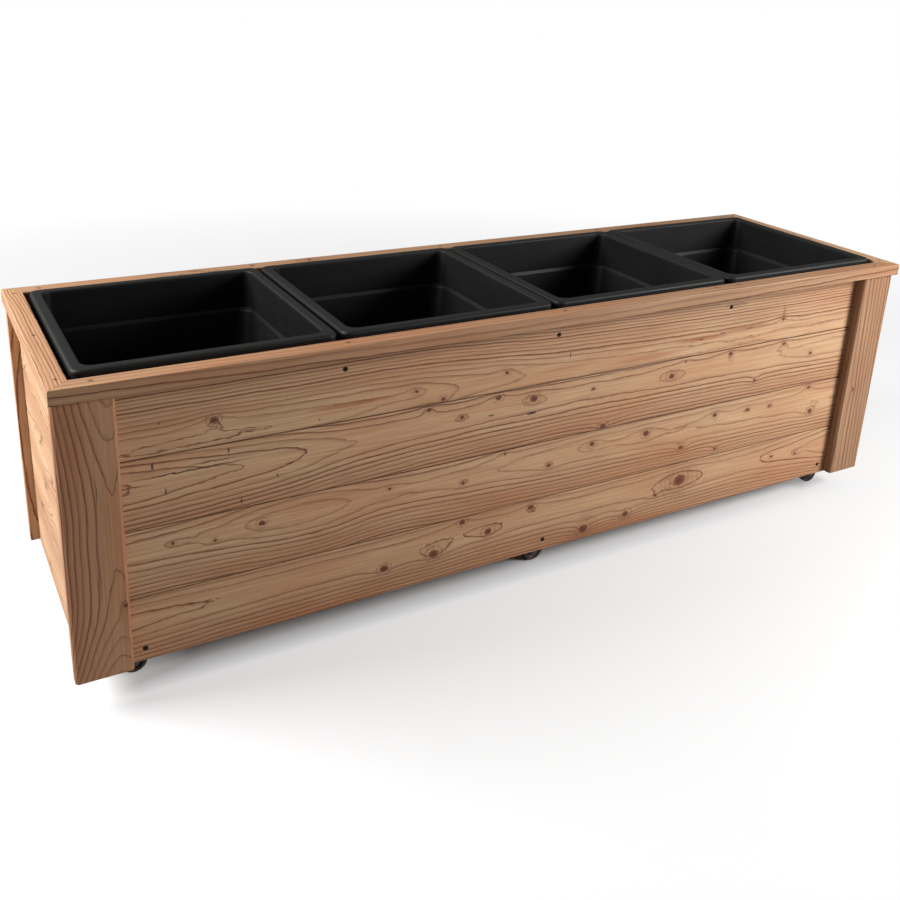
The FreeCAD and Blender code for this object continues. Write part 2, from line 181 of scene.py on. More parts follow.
def makeLarchGrain():
    inputs = {"Vector": ("Place", "Push slope"),
              "Float": ("Pith height", "Drift", "Drift slope", "Ring", "Seed", "Push", "Knot",
                        "Knot ring", "Halo", "Mark", "Redness", "Shade")}
    outputs = {"Color": ["Color"], "Float": ["Roughness", "Height"]}
    tree, given, end = newTree("larchGrain", "ShaderNodeTree", inputs, outputs)
    # each piece takes its noise from a place of its own
    shift = addNode(tree, "ShaderNodeCombineXYZ", {0: given["Seed"] * 613.0, 1: given["Seed"] * 97.0})
    seeded = vectorCalc(tree, "ADD", given["Place"], shift)
    v, w = axisOf(tree, given["Place"], 1), axisOf(tree, given["Place"], 2)

    def figure(along, across, detail, rough):
        # noise stretched along the grain
        return noise(tree, scaled(tree, seeded, (along, across, across)), 1.0, detail, rough)

    # distance from the pith, with the branches pushing the rings outwards
    across = v - given["Pith height"]
    through = w + larch["core"]
    radius = (across * across + through * through).calc("SQRT")
    waver = figure(0.010, 0.034, 4.0, 0.62)
    size = radius + (waver - 0.5) * (2 * larch["wobble"]) + given["Drift"] - given["Push"]
    count = size / given["Ring"] + given["Seed"] * 3.7
    inRing = count.calc("FRACT")
    ringNumber = count.calc("FLOOR")
    strength = addNode(tree, "ShaderNodeTexWhiteNoise", {"W": ringNumber + given["Seed"]},
                       noise_dimensions="1D")

    # how far apart the rings lie on the face, so that a line stays as thin where they spread
    slopeU = given["Drift slope"] - axisOf(tree, given["Push slope"], 0)
    slopeV = across / radius - axisOf(tree, given["Push slope"], 1)
    steep = (slopeU * slopeU + slopeV * slopeV + 0.0012).calc("SQRT")
    spread = given["Ring"] / steep
    before = (inRing * -1.0 + 1.0) * spread
    after = inRing * spread
    fibre = figure(0.055, 1.7, 3.0, 0.6)
    streak = figure(0.009, 0.36, 2.0, 0.5)
    cloud = figure(0.0045, 0.021, 2.0, 0.5)
    width = strength * 0.7 + (fibre * 0.8 + 0.25)
    line = (before / width).fade(larch["lineWidth"], larch["lineWidth"] * 2.1)
    line = line.calc("MAXIMUM", after.fade(0.0, 0.5))
    soft = before.fade(0.6, 4.0) * 0.40 + before.fade(0.6, 14.0) * 0.08
    late = (line * (strength * 0.5 + 0.55)).calc("MAXIMUM", soft)

    edgeRed = (across * -1.0).fade(58.0, 26.0) * 0.38
    tint = (cloud * 1.6 - 0.62).calc("MAXIMUM", 0.0) + given["Redness"] + edgeRed
    tint = tint + given["Push"] * 0.020
    body = mixColour(tree, tint, larch["early"], larch["red"])
    body = mixColour(tree, (streak - 0.36) * 1.10, body, larch["red"])
    colour = mixColour(tree, late, body, larch["late"])
    pore = figure(0.08, 1.1, 1.0, 0.5).fade(0.80, 0.70)
    colour = mixColour(tree, pore * 0.30, colour, larch["late"])
    colour = mixColour(tree, given["Knot"] * 0.90, colour,
                       mixColour(tree, given["Knot ring"], larch["knotRing"], larch["knot"]))
    colour = mixColour(tree, given["Halo"] * 0.85, colour, larch["late"])
    colour = mixColour(tree, given["Mark"], colour, larch["dark"])
    grey = given["Shade"] * (fibre * 0.26 + 0.88) * (cloud * 0.30 + 0.85) * (streak * -0.34 + 1.17)
    colour = mixColour(tree, 1.0, colour, greyColour(tree, grey), "MULTIPLY")
    plug(tree, colour, end.inputs["Color"])
    plug(tree, fibre * 0.22 + 0.50 - late * 0.12 - given["Knot"] * 0.10, end.inputs["Roughness"])
    plug(tree, late * 0.45 + fibre * 0.35 - pore * 0.35 - given["Mark"] * 2.2 - given["Halo"] * 0.4,
         end.inputs["Height"])
    return tree


larchGrain = makeLarchGrain()


def curveAlong(tree, along, points, top):
    # points are (share along the piece, millimetres), top is the highest value a point may have
    node = tree.nodes.new("ShaderNodeFloatCurve")
    curve = node.mapping.curves[0]
    curve.points[0].location = (0.0, points[0][1] / top)
    curve.points[1].location = (1.0, points[-1][1] / top)
    for share, value in points[1:-1]:
        curve.points.new(share, value / top)
    node.mapping.update()
    plug(tree, along, node.inputs["Value"])
    return Wire(tree, node.outputs[0]) * top


def addBranches(tree, place, branches):
    # what the branches do to the wood: push and its slope, knot, ring in it, dark rims round it
    push, slope, knot, ring, halo = 0.0, (0.0, 0.0, 0.0), 0.0, 0.0, 0.0
    uneven = noise(tree, place, 0.22, 2.0, 0.5) * 0.7 + 0.65
    for u, v, size in branches:
        size = size * (larch["knotSize"] + larch["knotGrowth"] * size)
        wideU, wideV = 2.5 * size + 3.0, 1.2 * size + 1.6
        away = vectorCalc(tree, "SUBTRACT", place, (u, v, 0.0))
        near = scaled(tree, away, (1 / wideU, 1 / wideV, 0.0))
        swell = fallOff(tree, vectorCalc(tree, "LENGTH", near, out=1)) * (1.1 * size + 1.6)
        push = swell + push
        lean = vectorCalc(tree, "SCALE", vectorCalc(tree, "NORMALIZE", near), swell)
        slope = vectorCalc(tree, "MULTIPLY_ADD", lean, (-1 / wideU, -1 / wideV, 0.0), slope)
        distance = vectorCalc(tree, "LENGTH", scaled(tree, away, (0.80, 1.0, 0.0)), out=1) * uneven
        knot = distance.fade(size * 0.72, size * 0.98).calc("MAXIMUM", knot)
        ring = distance.fade(size * 0.45, size * 0.85).calc("MAXIMUM", ring)
        for rim in [1.5] if size < larch["ringedFrom"] else [1.4, 1.9, 2.5]:
            edge = (distance - rim * size) / (0.45 + 0.06 * size)
            dark = min(1.0, size / larch["fullRim"]) / rim
            halo = (fallOff(tree, edge * edge) * dark).calc("MAXIMUM", halo)
    return push, slope, knot, ring, halo


def addMarks(tree, place, marks):
    total = 0.0
    for u, v, halfLength, halfHeight, strength in marks:
        away = vectorCalc(tree, "SUBTRACT", place, (u, v, 0.0))
        near = scaled(tree, away, (1 / halfLength, 1 / halfHeight, 0.0))
        spot = vectorCalc(tree, "LENGTH", near, out=1).fade(0.60, 1.25) * strength
        total = spot.calc("MAXIMUM", total)
    return total


def larchMaterial(name, order, origin, length, wood):
    # order names the axes along, across and into the piece, a minus turns one round
    material, tree, shader = newMaterial(name)
    place = vectorCalc(tree, "SUBTRACT", objectPlace(tree), origin)
    place = scaled(tree, place, (1 / mm, 1 / mm, 1 / mm))
    axes = {axis: axisOf(tree, place, number) for number, axis in enumerate("xyz")}
    u, v, w = [axes[a[-1]] * -1.0 if a[0] == "-" else axes[a] for a in order]
    place = addNode(tree, "ShaderNodeCombineXYZ", {0: u, 1: v, 2: w})
    share, step, lift, deepest = u / length, 0.012, larch["pithBelow"], larch["pithDeepest"]
    height = [(s, h + lift) for s, h, d in wood["pith"]]
    drift = [(s, d) for s, h, d in wood["pith"]]
    pithHeight = curveAlong(tree, share, height, larch["pithSpan"]) - lift
    pithDrift = curveAlong(tree, share, drift, deepest)
    slope = (curveAlong(tree, share + step, drift, deepest) - pithDrift) / (step * length)
    warp = noise(tree, scaled(tree, place, (0.13, 0.13, 0.0)), 1.0, 2.0, 0.6, 1)
    stray = larch["stray"]
    bent = vectorCalc(tree, "MULTIPLY_ADD", warp, (2 * stray, 2 * stray, 0.0), place)
    bent = vectorCalc(tree, "SUBTRACT", bent, (stray, stray, 0.0))
    push, pushSlope, knot, ring, halo = addBranches(tree, bent, wood.get("knots", []))
    mark = addMarks(tree, bent, wood.get("marks", []))
    # painted shade: the foot of the board, where it meets the board below, is darkened
    if "jointShade" in wood:
        mark = (v.fade(0.3, 1.4) * wood["jointShade"]).calc("MAXIMUM", mark)
    red = wood.get("red", 0.0)
    if "stains" in wood:
        red = addMarks(tree, bent, wood["stains"]) + red
    group = tree.nodes.new("ShaderNodeGroup")
    group.node_tree = larchGrain
    values = {"Place": place, "Pith height": pithHeight, "Drift": pithDrift, "Drift slope": slope,
              "Ring": wood["ring"], "Seed": wood["seed"], "Push": push, "Push slope": pushSlope,
              "Knot": knot, "Knot ring": ring, "Halo": halo, "Mark": mark, "Redness": red,
              "Shade": wood.get("shade", 1.0)}
    for key, value in values.items():
        plug(tree, value, group.inputs[key])
    plug(tree, group.outputs["Color"], shader.inputs["Base Color"])
    plug(tree, group.outputs["Roughness"], shader.inputs["Roughness"])
    shader.inputs["Specular IOR Level"].default_value = 0.35
    bump(tree, shader, group.outputs["Height"], larch["relief"])
    return material


# Object and mesh helpers

def newObject(name, data):
    piece = bpy.data.objects.new(name, data)
    bpy.context.scene.collection.objects.link(piece)
    return piece


def meshFrom(name, points, faces):
    mesh = bpy.data.meshes.new(name)
    mesh.from_pydata([tuple(p) for p in points], [], faces)
    mesh.update()
    return mesh


def meshObject(name, points, faces):
    return newObject(name, meshFrom(name, points, faces))


def shapeObject(name, shape):
    mesh = bpy.data.meshes.new(name)
    shape.to_mesh(mesh)
    shape.free()
    return newObject(name, mesh)


def bake(piece):
    # the evaluated piece as a plain mesh, with no modifier left
    bpy.context.view_layer.update()
    evaluated = piece.evaluated_get(bpy.context.evaluated_depsgraph_get())
    mesh = bpy.data.meshes.new_from_object(evaluated)
    mesh.name = piece.name
    piece.modifiers.clear()
    piece.data = mesh


def paint(piece, material):
    piece.data.materials.clear()
    piece.data.materials.append(material)


def cutAway(piece, cutter, material):
    cut = piece.modifiers.new("cut", "BOOLEAN")
    cut.object = cutter
    cut.solver = "EXACT"
    bake(piece)
    paint(piece, material)


def middleOf(name):
    low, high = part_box(name)
    return (low + high) / 2


def softenEdges(piece, width, angle):
    bevel = piece.modifiers.new("softEdges", "BEVEL")
    bevel.width = width
    bevel.segments = 2
    bevel.limit_method = "ANGLE"
    bevel.angle_limit = math.radians(angle)


def smooth(piece, angle):
    piece.data.shade_smooth()
    piece.data.set_sharp_from_angle(angle=math.radians(angle))
    weighted = piece.modifiers.new("evenShading", "WEIGHTED_NORMAL")
    weighted.keep_sharp = True
    weighted.weight = 100
    bake(piece)


def setUp(piece, body, slotName, *nodes):
    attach(piece, body)
    if nodes:
        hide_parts(*nodes)


# Geometry Nodes helpers

def geometryTree(name, **inputs):
    inputs = {"Geometry": ["Geometry"], **inputs, "Material": ["Material"]}
    return newTree(name, "GeometryNodeTree", inputs, {"Geometry": ["Geometry"]})


def joined(tree, *parts):
    node = tree.nodes.new("GeometryNodeJoinGeometry")
    for part in parts:
        plug(tree, part, node.inputs[0])
    return node.outputs[0]


def closeTree(tree, end, geometry, material):
    real = addNode(tree, "GeometryNodeRealizeInstances", {"Geometry": geometry})
    dressed = addNode(tree, "GeometryNodeSetMaterial", {"Geometry": real, "Material": material})
    plug(tree, dressed, end.inputs[0])


def growNodes(piece, tree, values):
    grown = piece.modifiers.new(tree.name, "NODES")
    grown.node_group = tree
    identifiers = {item.name: item.identifier for item in tree.interface.items_tree
                   if item.in_out == "INPUT"}
    for label, value in values.items():
        grown[identifiers[label]] = value


# A length of timber: its section is run along a vector, and mitred where Mitre isn't 0

def makeTimberTree():
    tree, given, end = geometryTree("timberTree", Vector=["Run", "Inward"], Float=["Edge", "Mitre"])
    way = vectorCalc(tree, "NORMALIZE", given["Run"])
    length = vectorCalc(tree, "LENGTH", given["Run"], out=1)
    first = addNode(tree, "GeometryNodeFlipFaces", {"Mesh": given["Geometry"]})
    grown = addNode(tree, "GeometryNodeExtrudeMesh", {"Mesh": given["Geometry"], "Offset": way,
                                                      "Offset Scale": length, "Individual": False})
    merged = addNode(tree, "GeometryNodeMergeByDistance",
                     {"Geometry": joined(tree, grown, first), "Distance": 0.01 * mm})

    # both ends lean in by the distance from the outer edge
    spot = addNode(tree, "GeometryNodeInputPosition")
    along = vectorCalc(tree, "DOT_PRODUCT", spot, way, out=1)
    inward = vectorCalc(tree, "DOT_PRODUCT", spot, given["Inward"], out=1) - given["Edge"]
    lean = inward * given["Mitre"] * (along * -2.0 / length)
    offset = vectorCalc(tree, "SCALE", way, lean)
    placed = addNode(tree, "GeometryNodeSetPosition", {"Geometry": merged, "Offset": offset})
    closeTree(tree, end, placed, given["Material"])
    return tree


timberTree = makeTimberTree()


def timber(name, outline, run, wood, order, origin, slotName, ease, mitre=None, cutter=None):
    # outline is a flat ring of points, whose face is turned to look along the run
    material = larchMaterial(name + "Larch", order, origin, run.length / mm, wood)
    face = meshFrom(name, outline, [list(range(len(outline)))])
    if face.polygons[0].normal.dot(run) < 0:
        face.flip_normals()
    piece = newObject(name, face)
    growNodes(piece, timberTree, {"Run": run, "Material": material, **(mitre or {})})
    softenEdges(piece, ease, 28)
    bake(piece)
    if cutter:
        cutAway(piece, cutter, material)
    smooth(piece, 30)
    setUp(piece, "box", slotName, name)


def laid(low, high, section, alongX):
    # a section across the run as points, and the run
    if alongX:
        return [Vector((low.x, a, z)) for a, z in section], Vector((high.x - low.x, 0, 0))
    return [Vector((a, low.y, z)) for a, z in section], Vector((0, high.y - low.y, 0))


# Countersunk screws, brads and pan heads: one tree stands them on points

fastenerSizes = ("Head Radius", "Head Height", "Shank Radius", "Length", "Dome", "Recess",
                 "Recess Depth")


def makeFastenerTree():
    tree, given, end = geometryTree("fastenerTree", Float=fastenerSizes)

    def cone(top, bottom, depth, lift):
        made = addNode(tree, "GeometryNodeMeshCone",
                       {"Vertices": 32, "Radius Top": top, "Radius Bottom": bottom, "Depth": depth})
        shift = addNode(tree, "ShaderNodeCombineXYZ", {2: lift})
        return addNode(tree, "GeometryNodeTransform", {"Geometry": made, "Translation": shift})

    # the head's top is at 0 and the shank runs down from it
    headRadius, headHeight = given["Head Radius"], given["Head Height"]
    shankRadius, length = given["Shank Radius"], given["Length"]
    head = cone(headRadius, shankRadius, headHeight, headHeight * -1.0)
    dome = cone(headRadius * 0.62, headRadius, given["Dome"] + 0.05 * mm, 0.0)
    shank = cone(shankRadius, shankRadius, length - headHeight, length * -1.0)
    point = cone(shankRadius, shankRadius * 0.2, shankRadius * 2.6, length * -1.0 - shankRadius * 2.6)
    topPart = addNode(tree, "GeometryNodeMeshBoolean", operation="UNION", solver="EXACT").socket.node
    for part in (head, dome):
        tree.links.new(part.socket, topPart.inputs[1])
    crossed = addNode(tree, "GeometryNodeMeshBoolean", {0: topPart.outputs[0]}, operation="DIFFERENCE",
                      solver="EXACT").socket.node
    long, short = given["Recess"] * 2.0, given["Recess"] * 0.5
    lift = addNode(tree, "ShaderNodeCombineXYZ", {2: given["Dome"]})
    for wide, deep in ((long, short), (short, long)):
        size = addNode(tree, "ShaderNodeCombineXYZ", {0: wide, 1: deep, 2: given["Recess Depth"] * 2.0})
        bar = addNode(tree, "GeometryNodeMeshCube", {"Size": size})
        lifted = addNode(tree, "GeometryNodeTransform", {"Geometry": bar, "Translation": lift})
        tree.links.new(lifted.socket, crossed.inputs[1])
    whole = joined(tree, crossed.outputs[0], shank, point)
    aim = addNode(tree, "GeometryNodeInputNamedAttribute", {"Name": "aim"}, data_type="FLOAT_VECTOR")
    turn = addNode(tree, "FunctionNodeAlignRotationToVector", {"Vector": aim}, axis="Z")
    spin = addNode(tree, "FunctionNodeRandomValue", {"Seed": 5}, out=1, data_type="FLOAT")
    roll = addNode(tree, "FunctionNodeAxisAngleToRotation", {"Axis": (0, 0, 1), "Angle": spin * 3.0})
    turned = addNode(tree, "FunctionNodeRotateRotation", {"Rotation": turn, "Rotate By": roll},
                     rotation_space="LOCAL")
    placed = addNode(tree, "GeometryNodeInstanceOnPoints",
                     {"Points": given["Geometry"], "Instance": whole, "Rotation": turned})
    closeTree(tree, end, placed, given["Material"])
    return tree


fastenerTree = makeFastenerTree()


def fasteners(name, places, material, slotName, sizes, *nodes):
    # places are (point, direction out of the surface), sizes follow fastenerSizes in millimetres
    mesh = meshFrom(name, [p for p, aim in places], [])
    aims = mesh.attributes.new("aim", "FLOAT_VECTOR", "POINT")
    for number, (p, aim) in enumerate(places):
        aims.data[number].vector = aim
    piece = newObject(name, mesh)
    values = {label: float(size * mm) for label, size in zip(fastenerSizes, sizes)}
    growNodes(piece, fastenerTree, dict(values, Material=material))
    bake(piece)
    smooth(piece, 35)
    setUp(piece, "box", slotName, *nodes)


# Other finishes

def plasticMaterial(name, colour, roughness, grainSize, grainDepth, specular=0.5, paintedRimSheen=None):
    # the painted rim sheen is the top of a zone painted a lighter grey in place of a highlight, its
    # depth and the grey
    material, tree, shader = newMaterial(name)
    place = objectPlace(tree)
    fine = noise(tree, place, 1 / grainSize, 2.0, 0.6)
    wide = noise(tree, place, 9.0, 3.0, 0.55)
    rubbed = noise(tree, scaled(tree, place, (14.0, 14.0, 90.0)), 1.0, 3.0, 0.6)
    dusty = tuple(c * 1.9 for c in colour[:3]) + (1,)
    body = mixColour(tree, (wide - 0.35) * 0.9, colour, dusty)
    if paintedRimSheen:
        # painted highlight: the top of the piece is painted a lighter grey
        height, depth, grey = paintedRimSheen
        paintedSheenMask = axisOf(tree, place, 2).fade(height, height - depth)
        body = mixColour(tree, paintedSheenMask, body, grey)
    plug(tree, body, shader.inputs["Base Color"])
    plug(tree, (wide - 0.5) * 0.22 + (rubbed - 0.5) * 0.16 + roughness, shader.inputs["Roughness"])
    shader.inputs["Specular IOR Level"].default_value = specular
    bump(tree, shader, fine, grainDepth)
    return material


def steelMaterial(name, colour, roughness):
    material, tree, shader = newMaterial(name)
    place = objectPlace(tree)
    spangle = noise(tree, place, 420.0, 2.0, 0.6)
    wide = noise(tree, place, 60.0, 3.0, 0.6)
    dull = tuple(c * 0.6 for c in colour[:3]) + (1,)
    plug(tree, mixColour(tree, (wide - 0.3) * 1.1, colour, dull), shader.inputs["Base Color"])
    plug(tree, (spangle - 0.5) * 0.2 + (wide - 0.5) * 0.3 + roughness, shader.inputs["Roughness"])
    shader.inputs["Metallic"].default_value = 1.0
    bump(tree, shader, spangle, 0.012 * mm)
    return material


# painted sheen: the top 6 mm of each pot, its rim, is painted a lighter grey than the rest
potRimPaintedSheen = (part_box("pot_1")[1].z, 6 * mm, (0.0135, 0.0135, 0.0128, 1))
potPlastic = plasticMaterial("potPlastic", (0.0030, 0.0031, 0.0033, 1), 0.52, 0.55 * mm, 0.020 * mm,
                             specular=0.19, paintedRimSheen=potRimPaintedSheen)
wheelPlastic = plasticMaterial("wheelPlastic", (0.070, 0.048, 0.045, 1), 0.42, 0.5 * mm, 0.015 * mm)
zincSteel = steelMaterial("zincSteel", (0.22, 0.21, 0.20, 1), 0.42)
blackScrew = steelMaterial("blackScrew", (0.055, 0.046, 0.040, 1), 0.42)
bradSteel = steelMaterial("bradSteel", (0.16, 0.11, 0.08, 1), 0.45)
print("finishes ready")


# Screws through the front and back boards

screws = {
    "headRadius": 3.6 * mm,
    "sunk": 0.4 * mm,
    "mouthRadius": 3.65 * mm,
    "mouthDepth": 2.4 * mm,
    "sunkInSlats": 0.2 * mm,
    "bearerOffset": 16 * mm,   # the bottom screws stand this far in from the outer bearers' middles
}
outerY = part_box("front_board_1")[0].y


def screwSpots():
    spots = []
    for rail in (1, 2, 3):
        middle = middleOf("divider_rail_" + str(rail))
        spots.append((middle.x, middle.z))
    for column in columns:
        middle = middleOf("bearer_" + column)
        if column != "middle":
            middle.x -= math.copysign(screws["bearerOffset"], middle.x)
        spots.append((middle.x, middle.z))
    return spots


def screwPlaces(depth):
    return [(Vector((x, side * (abs(outerY) - depth), z)), Vector((0, side, 0)))
            for side in (-1, 1) for x, z in screwSpots()]


def makeMouthCutter():
    shape = bmesh.new()
    for spot, aim in screwPlaces(0.0):
        turn = aim.to_track_quat("Z", "Y").to_matrix().to_4x4()
        deep = Matrix.Translation(spot - aim * screws["mouthDepth"] / 2) @ turn
        proud = 0.1 * mm   # the cutter stands out of the board by this much
        bmesh.ops.create_cone(shape, cap_ends=True, segments=40, radius1=screws["headRadius"] * 0.55,
                              radius2=screws["mouthRadius"], depth=screws["mouthDepth"] + 2 * proud,
                              matrix=deep @ Matrix.Translation((0, 0, proud)))
    return shapeObject("mouthCutter", shape)


mouthCutter = makeMouthCutter()


# Tongue-and-groove boards

boards = {
    "thick": 18 * mm,
    "chamfer": 0.5 * mm,
    "footChamfer": 2.5 * mm,
    "gap": 1.2 * mm,
    "tongueHeight": 8 * mm,
    "tongueHalf": 2.5 * mm,
    "tongueDraft": 0.4 * mm,
    "play": 0.3 * mm,
    "edgeBevel": 0.45 * mm,
    "jointShade": 0.85,   # how dark the painted shade along a joint is
    "longSpan": 1216,   # mm along a board in which the chance knots lie
    "endSpan": 322,
}

# pith: share along the board, height above its lower edge and depth behind its face, in millimetres
# knots: place along the board from its left end, height and radius
# marks and the redder stains: place, height, half length, half height and strength
frontWood = [
    {"seed": 1.3, "ring": 4.4, "red": 0.10,
     "pith": [(0, 56, 27), (0.2, 58, 30), (0.5, 60, 31), (0.78, 58, 31), (0.87, 57, 28), (1, 56, 17)],
     "knots": [(358, 39, 4.2), (431, 42, 5.2), (473, 80, 3.6), (515, 55, 4.4), (584, 76, 3.6),
               (679, 17, 5.8), (756, 23, 4.4), (811, 42, 2.8), (856, 57, 7.6), (1050, 57, 2.5),
               (1105, 51, 2.0)],
     "marks": [(1037, 30, 22, 0.7, 0.5)]},
    {"seed": 2.9, "ring": 4.4, "red": 0.02,
     "pith": [(0, 58, 36), (0.11, 60, 33), (0.21, 61, 27), (0.30, 62, 33), (0.37, 60, 32),
              (0.5, 60, 27), (0.75, 58, 24), (1, 55, 20)],
     "knots": [(89, 61, 2.0), (138, 52, 2.1), (195, 61, 3.2), (363, 68, 2.2), (471, 52, 2.5),
               (535, 82, 2.0), (608, 48, 3.0), (681, 66, 3.5), (779, 64, 4.0), (850, 27, 3.4),
               (922, 10, 2.5), (912, 68, 3.4), (980, 65, 3.0), (1028, 63, 2.2), (1123, 37, 4.0),
               (1111, 80, 3.0)],
     "marks": [(262, 30, 9, 0.7, 0.5)]},
    {"seed": 4.1, "ring": 4.4, "red": 0.0,
     "pith": [(0, 54, 17), (0.10, 54, 21), (0.19, 54, 26), (0.25, 56, 31), (0.4, 60, 34), (0.7, 62, 33),
              (1, 60, 29)],
     "knots": [(575, 68, 4.6), (519, 79, 3.6), (416, 80, 2.8), (465, 61, 2.6), (674, 65, 2.0),
               (815, 61, 4.0), (839, 80, 1.5), (927, 79, 3.0), (1038, 79, 3.0), (1101, 54, 2.5),
               (986, 27, 2.5), (697, 4, 4.0)],
     "marks": [(112, 62, 60, 0.9, 0.9), (30, 54, 34, 0.8, 0.9), (71, 76, 1.4, 4.0, 0.9),
               (157, 77, 1.2, 3.4, 0.8), (84, 41, 1.2, 4.4, 0.8), (171, 10, 1.4, 3.6, 0.75),
               (215, 33, 1.0, 3.0, 0.7), (509, 56, 4, 1.2, 0.85), (573, 47, 7, 1.8, 1.0),
               (140, 68, 26, 0.8, 0.8), (300, 12, 20, 0.7, 0.5)]},
    {"seed": 5.6, "ring": 3.7, "red": 0.0,
     "pith": [(0, 10, 15), (0.2, 12, 16), (0.34, 17, 20), (0.40, 18, 24), (0.5, 14, 27), (1, 8, 28)],
     "knots": [(142, 31, 3.8), (397, 22, 2.5), (530, 26, 2.5), (436, 5, 2.8), (1028, 34, 2.5)],
     "marks": [(81, 38, 1.6, 1.4, 0.8), (268, 7.5, 1.6, 1.4, 0.8), (630, 35, 0.9, 5.0, 0.7),
               (862, 24, 9, 0.8, 0.8), (905, 28, 6, 0.9, 0.7), (960, 29, 9, 0.8, 0.7),
               (1075, 33, 30, 0.5, 0.6), (926, 69, 24, 4.0, 0.30), (455, 78, 26, 0.7, 0.7)],
     "stains": [(311, 21, 54, 3.4, 0.9), (290, 14, 44, 2.0, 0.4), (868, 25, 46, 3.6, 0.9),
                (950, 30, 50, 2.4, 0.8), (1028, 42, 4, 14, 0.8), (770, 11, 60, 4.0, 0.5),
                (620, 17, 40, 2.2, 0.4)]},
]


def strayWood(seed, length, count):
    # a board that the photograph doesn't show, with its own chance places
    chance = random.Random(seed)
    high = chance.uniform(20, 66)
    pith = [(share, high + chance.uniform(-4, 4), chance.uniform(20, 36))
            for share in (0, 0.22, 0.41, 0.6, 0.83, 1)]
    knots = []
    while len(knots) < count:
        u, v = chance.uniform(18, length - 18), chance.uniform(9, 78)
        if all(abs(u - k[0]) > 45 for k in knots):
            knots.append((u, v, chance.uniform(1.8, 5.6)))
    marks = [(chance.uniform(30, length - 30), chance.uniform(8, 78), chance.uniform(5, 30),
              chance.uniform(0.6, 1.1), chance.uniform(0.35, 0.7)) for _ in range(max(2, count // 3))]
    return {"seed": chance.uniform(6, 40), "ring": chance.uniform(3.8, 4.8),
            "red": chance.uniform(0, 0.08), "pith": pith, "knots": knots, "marks": marks}


def boardOutline(low, high, level):
    # distance in from the outer face, and height
    lowest, highest = level == 1, level == 4
    ease = boards["footChamfer"] if lowest else boards["chamfer"]
    middle, half = boards["thick"] / 2, boards["tongueHalf"]
    bodyTop = high if highest else high - boards["tongueHeight"] - boards["gap"]
    points = [(0, low + ease), (0, bodyTop - boards["chamfer"]), (boards["chamfer"], bodyTop)]
    if not highest:
        tip = half - boards["tongueDraft"]
        points += [(middle - half, bodyTop), (middle - tip, high)]
        points += [(middle + tip, high), (middle + half, bodyTop)]
    points += [(boards["thick"], bodyTop), (boards["thick"], low)]
    if not lowest:
        mouth, top = half + boards["play"], low + boards["tongueHeight"] + boards["play"]
        points += [(middle + mouth, low), (middle + mouth, top)]
        points += [(middle - mouth, top), (middle - mouth, low)]
    points.append((ease, low))
    return points


def layBoard(name, level, side, onEnd, wood):
    low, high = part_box(name)
    face = (low if side < 0 else high)[0 if onEnd else 1]
    section = [(face - side * depth, z) for depth, z in boardOutline(low.z, high.z, level)]
    points, run = laid(low, high, section, not onEnd)
    along, into = "yx" if onEnd else "xy"
    order = (along, "z", into if side < 0 else "-" + into)
    origin = (face, low.y, low.z) if onEnd else (low.x, face, low.z)
    # the boards above the lowest get painted shade along their joint
    if level > 1:
        wood = dict(wood, jointShade=boards["jointShade"])
    cutter = mouthCutter if not onEnd and level in (1, 4) else None
    timber(name, points, run, wood, order, origin, "larch_board", boards["edgeBevel"],
           cutter=cutter)


for level in (1, 2, 3, 4):
    layBoard("front_board_" + str(level), level, -1, False, frontWood[level - 1])
    layBoard("back_board_" + str(level), level, 1, False, strayWood(20 + level, boards["longSpan"], 13))
    for end, side, seed in (("left", -1, 40), ("right", 1, 60)):
        wood = strayWood(seed + level, boards["endSpan"], 3)
        layBoard(end + "_end_board_" + str(level), level, side, True, wood)
print("boards laid")


# Corner trims and cap frame

trims = {
    "chamfer": 3.0 * mm,
    "edgeBevel": 0.6 * mm,
    "front_left": {"seed": 11.2, "ring": 4.9, "red": 0.46, "shade": 0.88, "knots": [(88, 60, 2.2)],
                   "pith": [(0, 54, 8), (0.10, 55, 16), (0.24, 55, 25), (0.5, 53, 29), (0.66, 54, 29),
                            (1, 58, 17)],
                   "marks": [(236, 38, 14, 0.7, 0.6), (120, 36, 20, 0.6, 0.35)]},
    "front_right": {"seed": 12.7, "ring": 6.2, "red": 0.30, "shade": 0.71, "knots": [(150, 20, 2.2)],
                    "pith": [(0, -10, 20), (0.5, -14, 22), (1, -18, 24)]},
    "back_left": {"seed": 13.1, "ring": 4.0, "knots": [(210, 30, 3.4)],
                  "pith": [(0, 20, 30), (0.5, 24, 24), (1, 22, 32)]},
    "back_right": {"seed": 14.9, "ring": 3.8, "knots": [(80, 24, 2.6)],
                   "pith": [(0, 40, 24), (0.5, 36, 31), (1, 44, 22)]},
}
for corner, (sideX, sideY) in corners.items():
    name = "corner_trim_" + corner
    low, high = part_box(name)
    face, back = (low.y, high.y) if sideY < 0 else (high.y, low.y)
    ease = trims["chamfer"]
    bevel = face - sideY * ease
    outline = [(low.x, back), (low.x, bevel), (low.x + ease, face),
               (high.x - ease, face), (high.x, bevel), (high.x, back)]
    points = [Vector((x, y, low.z)) for x, y in outline]
    run = Vector((0, 0, high.z - low.z))
    order, origin = ("z", "x", "y" if sideY < 0 else "-y"), (low.x, face, low.z)
    timber(name, points, run, trims[corner], order, origin, "larch_trim", trims["edgeBevel"])


brads = {
    "sunk": 0.2 * mm,
    "fromEdge": 13 * mm,
    "longShares": (-0.93, -0.48, 0.0, 0.48, 0.93),
    "shortShares": (-0.84, -0.06, 0.86),
    "stain": (3.4, 2.4, 0.7),   # half length, half width and strength
}

